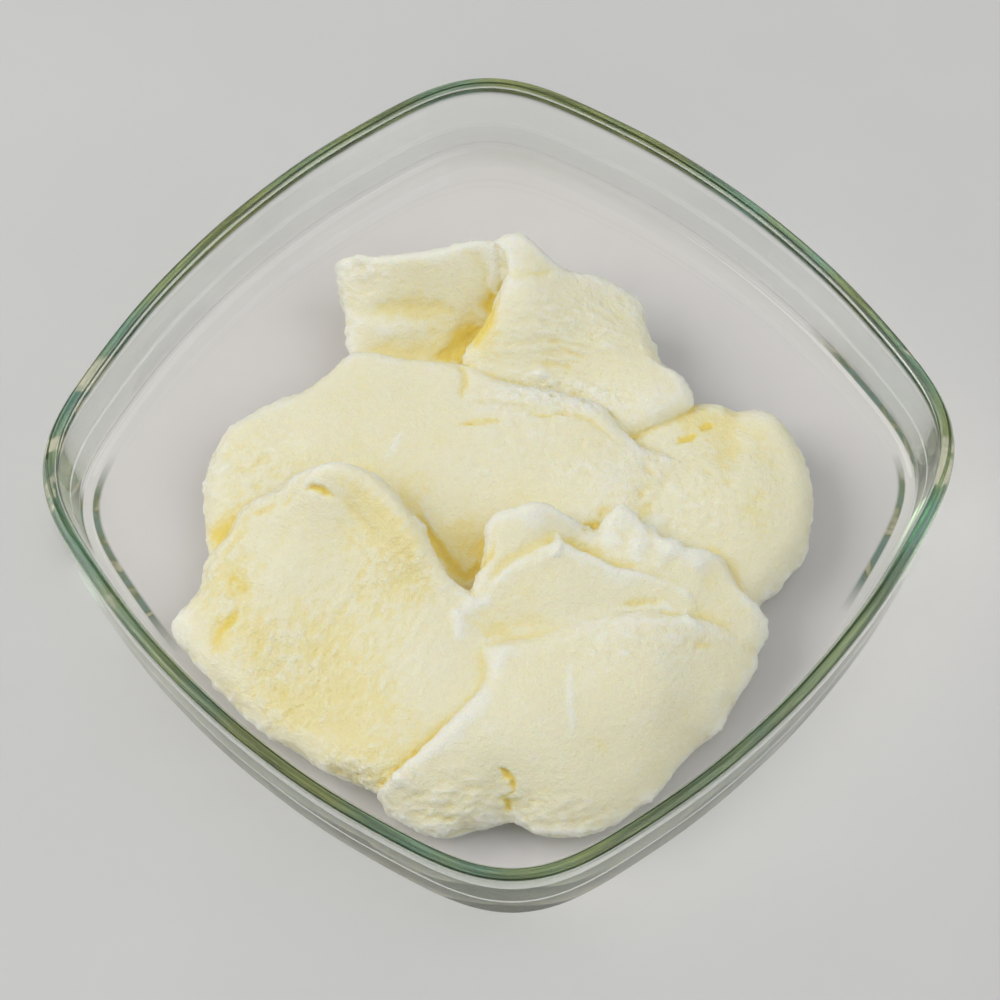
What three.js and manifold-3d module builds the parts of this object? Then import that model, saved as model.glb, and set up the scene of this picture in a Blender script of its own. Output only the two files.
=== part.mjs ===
// A bowl of greek yogurt: a shallow rounded-square dish of clear pressed glass with thick spoonfuls
// of strained yogurt in it. Millimetres, +Z up. The origin is at the centre of the dish's base, and
// the sides of the dish face X and Y, so that its corners point along the two diagonals.
import * as THREE from 'three';
import { mergeVertices } from 'three/addons/utils/BufferGeometryUtils.js';
import Module from 'manifold-3d';

const wasm = await Module();
wasm.setup();

// ---- driving dimensions -------------------------------------------------------------------------

const DISH = {
  rimRadius: 82.9,        // mean distance from the axis to the middle of the rim
  squareness: [-0.0647, 0.0142, -0.0046, 0.0013], // cosine terms of the outline: sides, then corners
  height: 23.6,
  rimThickness: 3.2,
  wallTop: 22,            // height at which the rim's rounding ends
  outerLean: 1.35,        // how far the outer wall comes in, from there down to its turn
  turn: 3,                // radius of its turn to the base
  innerLean: 2.3,         // how far the inner wall comes in, from there down to its fillet
  fillet: 2.5,            // radius of that fillet
  floor: 5,               // height of the inner floor, so also the thickness of the base
};
const AROUND = 112;       // steps round the dish
const GAP = 0.3;          // between the yogurt and the glass

const YOGURT = {
  undercut: 0.12,         // how far a spoonful's side comes in below, as a share of its height
  lipDrop: 0.55,          // most that a rounded edge takes of a spoonful's height
  rings: 7,               // steps from a spoonful's lip to its middle
  lipSteps: 3,
  around: 46,             // steps round a spoonful
};

// Each spoonful as laid in the dish: its edge and some places inside it as [right, back, height],
// along the dish's two diagonals, and the radius of its rounded lip. Where a spoonful runs under
// the next one, its edge lies low and out of sight.
const SPOONFULS = {
  backSlab: {
    lip: 3,
    edge: [
      [-32, 50, 18.8], [-24, 48.5, 22.2], [-10.5, 49, 24], [-0.5, 50, 25.1], [8, 44.5, 19.9],
      [6, 35, 13], [1, 24.5, 9.6], [-8.5, 23, 9], [-20, 23, 9], [-28.5, 28, 9.6], [-30, 34, 13],
      [-31, 40.5, 14.8],
    ],
    inside: [
      [-15, 40, 16.3], [-3, 35, 10.8], [-5, 41.5, 17.6], [-22.5, 34.5, 13.6], [-19, 44.5, 20.2],
    ],
  },
  backFold: {
    lip: 3.5,
    edge: [
      [0.5, 49.5, 26], [5.5, 50, 27.2], [15, 44.5, 22.2], [23.5, 44, 18.8], [31, 39.5, 15.9],
      [33, 30.5, 14.8], [34.5, 24.5, 15.3], [39.5, 19, 16.5], [40, 13.5, 16.5], [37.5, 11, 15.9],
      [32.5, 8.5, 15.9], [24, 6.5, 14.2], [14, 12.5, 13], [2, 16.5, 13.6], [-5.5, 23.5, 17.1],
      [-6, 27.5, 18.8], [-1.5, 34.5, 21.7], [2, 40.5, 24], [1.5, 48.5, 25.5],
    ],
    inside: [
      [14, 35.5, 21.4], [9.5, 26.5, 19], [23, 30, 18], [19.5, 20, 15.3], [31.5, 13, 17.2],
      [6.5, 35, 23.4], [5, 21.5, 16.5],
    ],
  },
  middleSheet: {
    lip: 4,
    edge: [
      [-60.5, -2.5, 11.9], [-59.5, 4, 13], [-56.5, 12, 14.2], [-48.5, 17.5, 15.6],
      [-40, 20.5, 16.5], [-33, 26.5, 16.7], [-30, 29, 17.1], [-19.5, 27.5, 17.1], [-6, 24.5, 17.6],
      [1, 20.5, 18.3], [10.5, 17.5, 18.8], [21.5, 13, 18.8], [29, 4.5, 18.1], [43.5, -2.5, 15.7],
      [46.5, -18.5, 13.6], [38.5, -33.5, 10.8], [19, -63, 9.6], [-2.5, -64, 9], [-21.5, -61.5, 9],
      [-37, -50, 8.4], [-52, -34, 8.4], [-59, -17, 9.6],
    ],
    inside: [
      [-34, 9, 18], [-20, 8, 18.6], [-3.5, 7, 19.1], [12.5, 5, 19.4], [24, -4.5, 18.8],
      [-15, -5, 17], [-6.5, -11.5, 15.3], [-8.5, -19.5, 13.4], [5, -4.5, 18.1],
      [-50.5, -1.5, 14.7], [-41, -25.5, 10.2], [-11.5, -48.5, 10.2], [18.5, -39, 10.2],
      [29.5, -18.5, 15.3],
    ],
  },
  rightLobe: {
    lip: 4.5,
    edge: [
      [39.5, 15.5, 13.6], [46.5, 16, 13.6], [49.5, 13.5, 13.4], [52.5, 13.5, 14.8],
      [57.5, 11, 15.7], [62, 3.5, 14.8], [63.5, -7, 13.6], [61.5, -17, 13], [59, -21, 12.5],
      [51.5, -29, 11.9], [38.5, -37.5, 10.8], [23, -29.5, 13], [18, -8, 15.9], [25, 5.5, 15.3],
    ],
    inside: [
      [46.5, -3.5, 17.4], [54, -10, 16.3], [39.5, -14.5, 17.1], [31, -8.5, 17.2],
      [49, -22.5, 14.7],
    ],
  },
  leftScoop: {
    lip: 4,
    edge: [
      [-41, -2.5, 23.4], [-37.5, -2.5, 26.3], [-32.5, -1.5, 27.5], [-25.5, -5, 27.4],
      [-19.5, -11.5, 26.2], [-14, -19.5, 24.3], [-9, -27, 21.4], [0, -34, 19.4], [3, -48, 17.6],
      [-3, -60.5, 14.8], [-14, -70.5, 10.8], [-25, -67, 13], [-37, -61, 11.3], [-51, -49.5, 10.8],
      [-59.5, -40, 10.8], [-66.5, -29, 11.1], [-63.5, -25, 11.7], [-61, -22, 12.2],
      [-59.5, -16, 13.4], [-55.5, -11, 15.3], [-51.5, -6, 17.6], [-46, -5, 20.5],
    ],
    inside: [
      [-34.5, -33, 16.3], [-42.5, -20.5, 18.3], [-30, -14, 21.9], [-20, -26.5, 20.2],
      [-14.5, -39.5, 19], [-16.5, -51.5, 17.2], [-27, -59, 14.4], [-41, -48.5, 12.9],
      [-50.5, -35.5, 14.1], [-52.5, -23, 15.3], [-31, -8.5, 24.9], [-21, -18, 23.4],
    ],
  },
  rearCrest: {
    lip: 3,
    edge: [
      [-7, -31.5, 19.9], [-4.5, -22, 21.7], [-3, -15, 23.4], [0.5, -13.5, 24.5], [7.5, -12, 25],
      [14, -14.5, 22.5], [18, -16.5, 20.3], [24, -12, 22.2], [29.5, -17, 21.8], [35.5, -21, 20.6],
      [42.5, -22, 19.1], [47, -29, 16.8], [51, -33.5, 14.5], [50, -39.5, 13], [37.5, -44.5, 14.2],
      [18, -40.5, 16.5], [-1.5, -39.5, 17.6],
    ],
    inside: [
      [6.5, -18.5, 24.1], [11, -24, 21.1], [27, -24.5, 20.4], [38.5, -32, 17.6],
    ],
  },
  middleCrest: {
    lip: 2.2,
    edge: [
      [-5.5, -31, 20.2], [-1.5, -26, 22.1], [4.5, -22, 23.3], [11, -20.5, 23.9], [17, -23, 22.9],
      [22, -25.5, 22], [30, -27.5, 20.6], [37.5, -31.5, 18.6], [38, -41, 15.3], [18, -43, 16.5],
      [-1.5, -42.5, 17.6],
    ],
    inside: [
      [10, -30, 21.8], [22.5, -32.5, 19.9], [4.5, -35.5, 19.5],
    ],
  },
  rightScoop: {
    lip: 5,
    edge: [
      [-6, -40, 19.3], [-3, -39.5, 20.1], [4.5, -38.5, 20.5], [13.5, -36.5, 21.1],
      [20.5, -35.5, 21.4], [27.5, -34.5, 21.3], [33.5, -35, 20.4], [41, -35.5, 17.6],
      [48, -38, 14.2], [49.5, -41.5, 12.2], [47.5, -46, 11], [43.5, -52.5, 10.5], [37, -59, 10.2],
      [25, -71, 9.9], [15, -76, 9.9], [6, -76.5, 9.9], [-1, -72.5, 10.3], [-6, -74, 10.2],
      [-14, -76, 10.4], [-20.5, -73, 11.4], [-26, -68, 13.3], [-23.5, -65.5, 15.7],
      [-17.5, -61, 17.9], [-9.5, -53, 19.7], [-5.5, -48, 19.9],
    ],
    inside: [
      [17.5, -52, 20.3], [6, -53.5, 20.6], [29.5, -53.5, 18.1], [17, -65, 15.7],
      [1.5, -66.5, 16.3], [-11, -68.5, 15.3], [37.5, -49, 15.1], [12.5, -44, 20.9],
      [-6, -62.5, 18.3],
    ],
  },
};

// ---- rings of points into closed meshes ---------------------------------------------------------

// Triangles between rings of equal length. The first ring closes on a point below, the last above.
function closedMesh(rings, first, last) {
  const count = rings[0].length;
  const positions = rings.flat().flatMap((p) => p.toArray());
  positions.push(...first.toArray(), ...last.toArray());
  const firstIndex = rings.length * count;
  const lastIndex = firstIndex + 1;
  const faces = [];
  for (let j = 0; j < count; j++) {
    const next = (j + 1) % count;
    faces.push(firstIndex, next, j);
    for (let i = 0; i + 1 < rings.length; i++) {
      const low = i * count;
      const high = low + count;
      faces.push(low + j, low + next, high + next, low + j, high + next, high + j);
    }
    const top = (rings.length - 1) * count;
    faces.push(lastIndex, top + j, top + next);
  }
  const geometry = new THREE.BufferGeometry();
  geometry.setAttribute('position', new THREE.Float32BufferAttribute(positions, 3));
  geometry.setIndex(faces);
  return geometry;
}

function toSolid(geometry) {
  const merged = mergeVertices(geometry, 1e-4);
  const vertProperties = new Float32Array(merged.attributes.position.array);
  const triVerts = new Uint32Array(merged.index.array);
  return new wasm.Manifold(new wasm.Mesh({ numProp: 3, vertProperties, triVerts }));
}

function toGeometry(solid) {
  const mesh = solid.getMesh();
  const geometry = new THREE.BufferGeometry();
  geometry.setAttribute('position', new THREE.BufferAttribute(mesh.vertProperties, 3));
  geometry.setIndex(new THREE.BufferAttribute(mesh.triVerts, 1));
  return geometry;
}

// ---- the dish -----------------------------------------------------------------------------------

// The middle of the rim, seen from above: a circle drawn out towards four corners.
function rimPoint(angle) {
  let radius = 1;
  DISH.squareness.forEach((share, i) => {
    radius += share * Math.cos(4 * (i + 1) * angle);
  });
  radius *= DISH.rimRadius;
  return new THREE.Vector2(radius * Math.cos(angle), radius * Math.sin(angle));
}

// One ring round the dish at a height, moved in from the rim's outer edge.
function dishRing(inset, z) {
  const ring = [];
  for (let j = 0; j < AROUND; j++) {
    const angle = (2 * Math.PI * j) / AROUND;
    const step = 0.002;
    const tangent = rimPoint(angle + step).sub(rimPoint(angle - step)).normalize();
    const move = DISH.rimThickness / 2 - inset;
    const point = rimPoint(angle).add(new THREE.Vector2(tangent.y, -tangent.x).multiplyScalar(move));
    ring.push(new THREE.Vector3(point.x, point.y, z));
  }
  return ring;
}

// The outside, from the base up to the rim's outer edge.
function outerRings() {
  const rings = [];
  for (const degrees of [90, 72, 54, 36, 18, 0]) {
    const a = THREE.MathUtils.degToRad(degrees);
    const inset = DISH.outerLean + DISH.turn * (1 - Math.cos(a));
    rings.push(dishRing(inset, DISH.turn * (1 - Math.sin(a))));
  }
  rings.push(dishRing(0, DISH.wallTop));
  return rings;
}

// The rounded rim, from its outer edge over the top to its inner edge.
function rimRings() {
  const rings = [];
  const middle = DISH.rimThickness / 2;
  for (const degrees of [36, 72, 108, 144]) {
    const a = THREE.MathUtils.degToRad(degrees);
    const rise = (DISH.height - DISH.wallTop) / Math.sin(THREE.MathUtils.degToRad(72));
    rings.push(dishRing(middle * (1 - Math.cos(a)), DISH.wallTop + rise * Math.sin(a)));
  }
  return rings;
}

// The inside, from the rim's inner edge down to the floor. clear moves it in off the glass.
function innerRings(clear = 0) {
  const rings = [dishRing(DISH.rimThickness + clear, DISH.wallTop)];
  const foot = DISH.rimThickness + DISH.innerLean + clear;
  for (const degrees of [0, 18, 36, 54, 72, 90]) {
    const a = THREE.MathUtils.degToRad(degrees);
    const inset = foot + DISH.fillet * (1 - Math.cos(a));
    rings.push(dishRing(inset, DISH.floor + DISH.fillet * (1 - Math.sin(a)) + clear));
  }
  return rings;
}

function dishGeometry() {
  const rings = [...outerRings(), ...rimRings(), ...innerRings()];
  const base = new THREE.Vector3(0, 0, 0);
  const floor = new THREE.Vector3(0, 0, DISH.floor);
  return closedMesh(rings, base, floor);
}

// The room inside the dish that the yogurt may take: clear of the glass, and open upwards.
function hollowSolid() {
  const wall = innerRings(GAP).reverse();
  const aboveRim = dishRing(DISH.rimThickness + GAP, DISH.height * 3);
  const bottom = new THREE.Vector3(0, 0, DISH.floor + GAP);
  const top = new THREE.Vector3(0, 0, DISH.height * 3);
  return toSolid(closedMesh([...wall, aboveRim], bottom, top));
}

// ---- the yogurt ---------------------------------------------------------------------------------

// From right and back along the dish's diagonals to X and Y.
function diagonal(right, back, z) {
  const half = Math.SQRT1_2;
  return new THREE.Vector3((right - back) * half, (right + back) * half, z);
}

// A smooth sheet through places given as [right, back, height]: a thin plate, bent by them.
function thinPlate(places) {
  const bend = (dx, dy) => {
    const square = dx * dx + dy * dy;
    return square > 0 ? square * Math.log(square) : 0;
  };
  const size = places.length + 3;
  const rows = places.map(([x, y, height]) => (
    [...places.map(([px, py]) => bend(x - px, y - py)), 1, x, y, height]
  ));
  rows.push([...places.map(() => 1), 0, 0, 0, 0]);
  rows.push([...places.map(([x]) => x), 0, 0, 0, 0]);
  rows.push([...places.map(([, y]) => y), 0, 0, 0, 0]);
  const weights = solve(rows, size);
  return (x, y) => {
    let height = weights[size - 3] + weights[size - 2] * x + weights[size - 1] * y;
    places.forEach(([px, py], i) => {
      height += weights[i] * bend(x - px, y - py);
    });
    return height;
  };
}

// Gauss-Jordan elimination of rows that each end in their right-hand side.
function solve(rows, size) {
  for (let k = 0; k < size; k++) {
    let pivot = k;
    for (let i = k + 1; i < size; i++) {
      if (Math.abs(rows[i][k]) > Math.abs(rows[pivot][k])) pivot = i;
    }
    [rows[k], rows[pivot]] = [rows[pivot], rows[k]];
    for (let i = 0; i < size; i++) {
      if (i === k) continue;
      const share = rows[i][k] / rows[k][k];
      for (let j = k; j <= size; j++) rows[i][j] -= share * rows[k][j];
    }
  }
  return rows.map((row, i) => row[size] / row[i]);
}

// One spoonful: flat below, a smooth top through its places, a rounded lip, and a side that comes
// in a little towards the floor.
function spoonfulSolid({ lip, edge, inside }) {
  const top = thinPlate([...edge, ...inside]);
  const corners = edge.map(([right, back]) => new THREE.Vector3(right, back, 0));
  const curve = new THREE.CatmullRomCurve3(corners, true, 'centripetal');
  const loop = curve.getSpacedPoints(YOGURT.around).slice(0, YOGURT.around).reverse();
  const middle = new THREE.Vector3();
  loop.forEach((p) => middle.addScaledVector(p, 1 / YOGURT.around));
  const below = DISH.floor - 1;
  const rings = [];
  // A ring at a share of the way from the lip to the middle, or out on the lip itself.
  const addRing = (share, outward, drop) => rings.push(loop.map((p) => {
    const reach = p.distanceTo(middle);
    const inset = lip * (1 - outward) + share * (reach - lip);
    const at = p.clone().lerp(middle, inset / reach);
    const height = top(at.x, at.y);
    return diagonal(at.x, at.y, height - drop(height));
  }));
  const lipDrop = (height) => Math.min(lip, (height - DISH.floor) * YOGURT.lipDrop);
  const foot = loop.map((p) => {
    const inset = YOGURT.undercut * (top(p.x, p.y) - DISH.floor);
    const at = p.clone().lerp(middle, inset / p.distanceTo(middle));
    return diagonal(at.x, at.y, below);
  });
  rings.push(foot);
  for (let i = 0; i < YOGURT.lipSteps; i++) {
    const a = (Math.PI / 2) * (1 - i / YOGURT.lipSteps);
    addRing(0, Math.sin(a), (height) => lipDrop(height) * (1 - Math.cos(a)));
  }
  for (let i = 0; i < YOGURT.rings; i++) addRing(i / YOGURT.rings, 0, () => 0);
  const { x, y } = middle;
  return toSolid(closedMesh(rings, diagonal(x, y, below), diagonal(x, y, top(x, y))));
}

function yogurtGeometry() {
  const heap = Object.values(SPOONFULS).map(spoonfulSolid).reduce((all, one) => all.add(one));
  return toGeometry(heap.intersect(hollowSolid()));
}

// ---- the object ---------------------------------------------------------------------------------

function namedMesh(name, geometry, material) {
  const mesh = new THREE.Mesh(geometry, material);
  mesh.name = name;
  return mesh;
}

const glass = new THREE.MeshStandardMaterial({
  color: 0xdfe9dc, roughness: 0.05, metalness: 0, transparent: true, opacity: 0.35,
});
const strainedYogurt = new THREE.MeshStandardMaterial({ color: 0xf2ecd2, roughness: 0.45, metalness: 0 });

const bowlOfYogurt = new THREE.Group();
bowlOfYogurt.add(namedMesh('glass_bowl', dishGeometry(), glass));
bowlOfYogurt.add(namedMesh('yogurt', yogurtGeometry(), strainedYogurt));

export default bowlOfYogurt;
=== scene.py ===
"""A bowl of greek yogurt: thick spoonfuls of strained yogurt in a shallow clear glass dish."""

import math

import bpy
import numpy as np
from mathutils import Matrix, Vector
from mathutils.bvhtree import BVHTree


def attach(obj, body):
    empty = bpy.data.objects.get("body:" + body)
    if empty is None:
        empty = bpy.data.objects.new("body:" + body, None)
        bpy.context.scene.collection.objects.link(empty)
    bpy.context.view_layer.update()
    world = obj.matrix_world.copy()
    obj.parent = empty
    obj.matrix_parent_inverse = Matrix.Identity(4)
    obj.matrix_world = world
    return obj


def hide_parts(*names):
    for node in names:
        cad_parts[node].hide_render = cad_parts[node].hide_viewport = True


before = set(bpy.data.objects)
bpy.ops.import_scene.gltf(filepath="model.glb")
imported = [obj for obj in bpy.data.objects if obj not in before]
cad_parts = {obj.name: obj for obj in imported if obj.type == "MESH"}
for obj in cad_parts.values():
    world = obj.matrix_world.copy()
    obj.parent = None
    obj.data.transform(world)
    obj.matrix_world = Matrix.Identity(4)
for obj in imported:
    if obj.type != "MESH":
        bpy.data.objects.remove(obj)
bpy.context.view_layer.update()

MM = 0.001

# The dish, in millimetres, as the solid has it. Insets are measured in from the rim's outer edge.
RIM_RADIUS = 82.9
SQUARENESS = (-0.0647, 0.0142, -0.0046, 0.0013)  # shares of the radius, for 4, 8, 12 and 16 waves
HEIGHT = 23.6
RIM_THICKNESS = 3.2
WALL_TOP = 22.0  # where the rim's rounding starts
OUTER_LEAN = 1.35
TURN = 3.0
INNER_LEAN = 2.3
FILLET = 2.5
FLOOR = 5.0
FLOOR_INSET = RIM_THICKNESS + INNER_LEAN + FILLET
FLOOR_RINGS = (0.5, 1.0, 1.6)  # how far in from the fillet the floor is divided
AROUND = 480
ROUND_STEPS = 14  # steps round the rim's half circle, the turn and the fillet
OUTER_STEPS = 8
INNER_STEPS = 16
FLOOR_GAP = 0.3  # air between the dish and the studio floor, so that the two don't coincide

# The left and right corners, where painted cream light comes into the rim's tint: how far right or
# left they start, and over how much they fade in, in millimetres.
CORNER_START = 74.0
CORNER_SPAN = 12.0

# Green streaks low in those corners, from light that has run far inside the glass: which side, the
# insets and heights that they cover on the section, and how far back they run, in millimetres.
OUTER_TURN = ((-1.0, OUTER_LEAN + 1.6), (-1.0, TURN + 1))
FLOOR_EDGE = ((FLOOR_INSET - 0.1, FLOOR_INSET + FLOOR_RINGS[-1]), (-1.0, FLOOR + 1))
STREAKS = (
    (-1, OUTER_TURN, (-12, 6)),
    (-1, FLOOR_EDGE, (-34, 12)),
    (1, OUTER_TURN, (-4, 40)),
    (1, FLOOR_EDGE, (-30, 6)),
)
STREAK_FADE = 1.6  # how fast they fade in from their ends

# The heap, in millimetres. A spoonful's foot is set in by a share of its height, and its lip is
# rounded down by no more than a share of its height.
UNDERCUT = 0.12
LIP_DROP = 0.55
SINK = 0.08  # how far the yogurt reaches into the glass, so that no air shows between them
SPOON_AROUND = 150
SPOON_RINGS = 34
LIP_STEPS = 8
VOXEL = 0.42
SMOOTHING = 5
HEAP_TRIANGLES = 196000

# Each spoonful: the radius of its lip, its edge, and places inside it, as (right, back, height)
# along the dish's two diagonals.
SPOONFULS = {
    "back_slab": (
        3,
        (
            (-32, 50, 18.8), (-24, 48.5, 22.2), (-10.5, 49, 24), (-0.5, 50, 25.1), (8, 44.5, 19.9),
            (6, 35, 13), (1, 24.5, 9.6), (-8.5, 23, 9), (-20, 23, 9), (-28.5, 28, 9.6),
            (-30, 34, 13), (-31, 40.5, 14.8),
        ),
        (
            (-15, 40, 16.3), (-3, 35, 10.8), (-5, 41.5, 17.6), (-22.5, 34.5, 13.6),
            (-19, 44.5, 20.2),
        ),
    ),
    "back_fold": (
        3.5,
        (
            (0.5, 49.5, 26), (5.5, 50, 27.2), (15, 44.5, 22.2), (23.5, 44, 18.8), (31, 39.5, 15.9),
            (33, 30.5, 14.8), (34.5, 24.5, 15.3), (39.5, 19, 16.5), (40, 13.5, 16.5),
            (37.5, 11, 15.9), (32.5, 8.5, 15.9), (24, 6.5, 14.2), (14, 12.5, 13), (2, 16.5, 13.6),
            (-5.5, 23.5, 17.1), (-6, 27.5, 18.8), (-1.5, 34.5, 21.7), (2, 40.5, 24),
            (1.5, 48.5, 25.5),
        ),
        (
            (14, 35.5, 21.4), (9.5, 26.5, 19), (23, 30, 18), (19.5, 20, 15.3), (31.5, 13, 17.2),
            (6.5, 35, 23.4), (5, 21.5, 16.5),
        ),
    ),
    "middle_sheet": (
        4,
        (
            (-60.5, -2.5, 11.9), (-59.5, 4, 13), (-56.5, 12, 14.2), (-48.5, 17.5, 15.6),
            (-40, 20.5, 16.5), (-33, 26.5, 16.7), (-30, 29, 17.1), (-19.5, 27.5, 17.1),
            (-6, 24.5, 17.6), (1, 20.5, 18.3), (10.5, 17.5, 18.8), (21.5, 13, 18.8),
            (29, 4.5, 18.1), (43.5, -2.5, 15.7), (46.5, -18.5, 13.6), (38.5, -33.5, 10.8),
            (19, -63, 9.6), (-2.5, -64, 9), (-21.5, -61.5, 9), (-37, -50, 8.4), (-52, -34, 8.4),
            (-59, -17, 9.6),
        ),
        (
            (-34, 9, 18), (-20, 8, 18.6), (-3.5, 7, 19.1), (12.5, 5, 19.4), (24, -4.5, 18.8),
            (-15, -5, 17), (-6.5, -11.5, 15.3), (-8.5, -19.5, 13.4), (5, -4.5, 18.1),
            (-50.5, -1.5, 14.7), (-41, -25.5, 10.2), (-11.5, -48.5, 10.2), (18.5, -39, 10.2),
            (29.5, -18.5, 15.3),
        ),
    ),
    "right_lobe": (
        4.5,
        (
            (39.5, 15.5, 13.6), (46.5, 16, 13.6), (49.5, 13.5, 13.4), (52.5, 13.5, 14.8),
            (57.5, 11, 15.7), (62, 3.5, 14.8), (63.5, -7, 13.6), (61.5, -17, 13), (59, -21, 12.5),
            (51.5, -29, 11.9), (38.5, -37.5, 10.8), (23, -29.5, 13), (18, -8, 15.9),
            (25, 5.5, 15.3),
        ),
        (
            (46.5, -3.5, 17.4), (54, -10, 16.3), (39.5, -14.5, 17.1), (31, -8.5, 17.2),
            (49, -22.5, 14.7),
        ),
    ),
    "left_scoop": (
        4,
        (
            (-41, -2.5, 23.4), (-37.5, -2.5, 26.3), (-32.5, -1.5, 27.5), (-25.5, -5, 27.4),
            (-19.5, -11.5, 26.2), (-14, -19.5, 24.3), (-9, -27, 21.4), (0, -34, 19.4),
            (3, -48, 17.6), (-3, -60.5, 14.8), (-14, -70.5, 10.8), (-25, -67, 13),
            (-37, -61, 11.3), (-51, -49.5, 10.8), (-59.5, -40, 10.8), (-66.5, -29, 11.1),
            (-63.5, -25, 11.7), (-61, -22, 12.2), (-59.5, -16, 13.4), (-55.5, -11, 15.3),
            (-51.5, -6, 17.6), (-46, -5, 20.5),
        ),
        (
            (-34.5, -33, 16.3), (-42.5, -20.5, 18.3), (-30, -14, 21.9), (-20, -26.5, 20.2),
            (-14.5, -39.5, 19), (-16.5, -51.5, 17.2), (-27, -59, 14.4), (-41, -48.5, 12.9),
            (-50.5, -35.5, 14.1), (-52.5, -23, 15.3), (-31, -8.5, 24.9), (-21, -18, 23.4),
        ),
    ),
    "rear_crest": (
        3,
        (
            (-7, -31.5, 19.9), (-4.5, -22, 21.7), (-3, -15, 23.4), (0.5, -13.5, 24.5),
            (7.5, -12, 25), (14, -14.5, 22.5), (18, -16.5, 20.3), (24, -12, 22.2),
            (29.5, -17, 21.8), (35.5, -21, 20.6), (42.5, -22, 19.1), (47, -29, 16.8),
            (51, -33.5, 14.5), (50, -39.5, 13), (37.5, -44.5, 14.2), (18, -40.5, 16.5),
            (-1.5, -39.5, 17.6),
        ),
        (
            (6.5, -18.5, 24.1), (11, -24, 21.1), (27, -24.5, 20.4), (38.5, -32, 17.6),
        ),
    ),
    "middle_crest": (
        2.2,
        (
            (-5.5, -31, 20.2), (-1.5, -26, 22.1), (4.5, -22, 23.3), (11, -20.5, 23.9),
            (17, -23, 22.9), (22, -25.5, 22), (30, -27.5, 20.6), (37.5, -31.5, 18.6),
            (38, -41, 15.3), (18, -43, 16.5), (-1.5, -42.5, 17.6),
        ),
        (
            (10, -30, 21.8), (22.5, -32.5, 19.9), (4.5, -35.5, 19.5),
        ),
    ),
    "right_scoop": (
        5,
        (
            (-6, -40, 19.3), (-3, -39.5, 20.1), (4.5, -38.5, 20.5), (13.5, -36.5, 21.1),
            (20.5, -35.5, 21.4), (27.5, -34.5, 21.3), (33.5, -35, 20.4), (41, -35.5, 17.6),
            (48, -38, 14.2), (49.5, -41.5, 12.2), (47.5, -46, 11), (43.5, -52.5, 10.5),
            (37, -59, 10.2), (25, -71, 9.9), (15, -76, 9.9), (6, -76.5, 9.9), (-1, -72.5, 10.3),
            (-6, -74, 10.2), (-14, -76, 10.4), (-20.5, -73, 11.4), (-26, -68, 13.3),
            (-23.5, -65.5, 15.7), (-17.5, -61, 17.9), (-9.5, -53, 19.7), (-5.5, -48, 19.9),
        ),
        (
            (17.5, -52, 20.3), (6, -53.5, 20.6), (29.5, -53.5, 18.1), (17, -65, 15.7),
            (1.5, -66.5, 16.3), (-11, -68.5, 15.3), (37.5, -49, 15.1), (12.5, -44, 20.9),
            (-6, -62.5, 18.3),
        ),
    ),
}
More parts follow.
